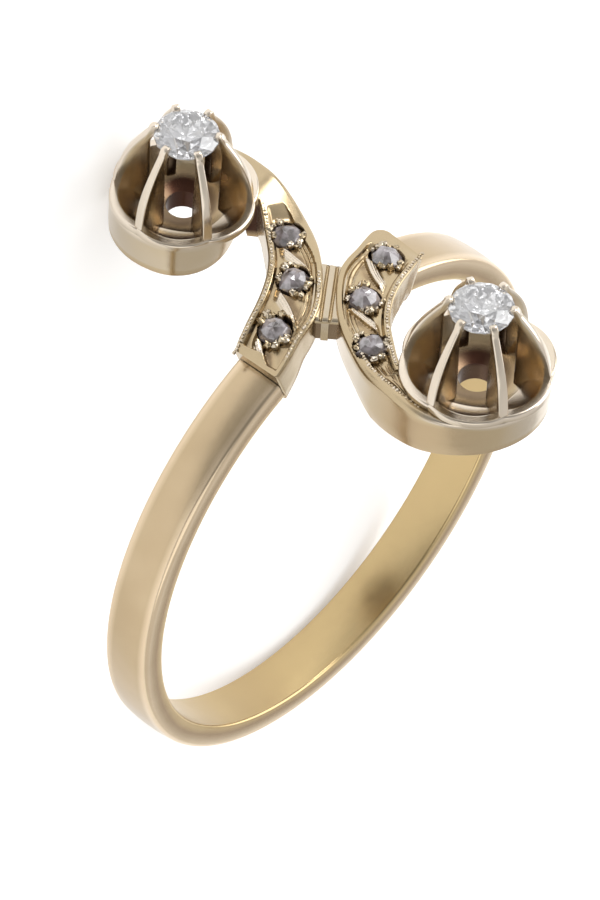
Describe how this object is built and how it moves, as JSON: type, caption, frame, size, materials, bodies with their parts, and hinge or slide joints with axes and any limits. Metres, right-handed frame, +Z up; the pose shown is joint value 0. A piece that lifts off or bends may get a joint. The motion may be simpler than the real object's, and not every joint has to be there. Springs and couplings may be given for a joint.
{
  "type": "toi et moi ring",
  "caption": "Two-colour gold toi et moi ring: an open S of scrolled arms set with small rose-cut stones, ending in tall six-prong settings, each with a round brilliant.",
  "frame": {"origin": "middle of the underside of the ring's box, on the surface that it lies on", "axes": "+Z up from the table; +Y towards the stones, along the ring's longest reach; +X across the finger hole. The ring lies on its side, so the finger hole's axis leans 22 degrees from +Z towards -Y"},
  "size_m": [0.0188, 0.0241, 0.016],
  "materials": {
    "yellow_gold": "polished 18 ct yellow gold with light wear",
    "white_gold": "polished champagne white gold with light wear",
    "diamond": "polished brilliant-cut facets",
    "rose_stone": "dark grey rose cut, a little worn"
  },
  "bodies": {
    "root": {"shank": "yellow_gold", "top_frame": "white_gold", "head_1": "white_gold", "head_2": "white_gold", "diamond_1": "diamond", "diamond_2": "diamond", "rose_1": "rose_stone", "rose_2": "rose_stone", "rose_3": "rose_stone", "rose_4": "rose_stone", "rose_5": "rose_stone", "rose_6": "rose_stone"}
  },
  "joints": []
}
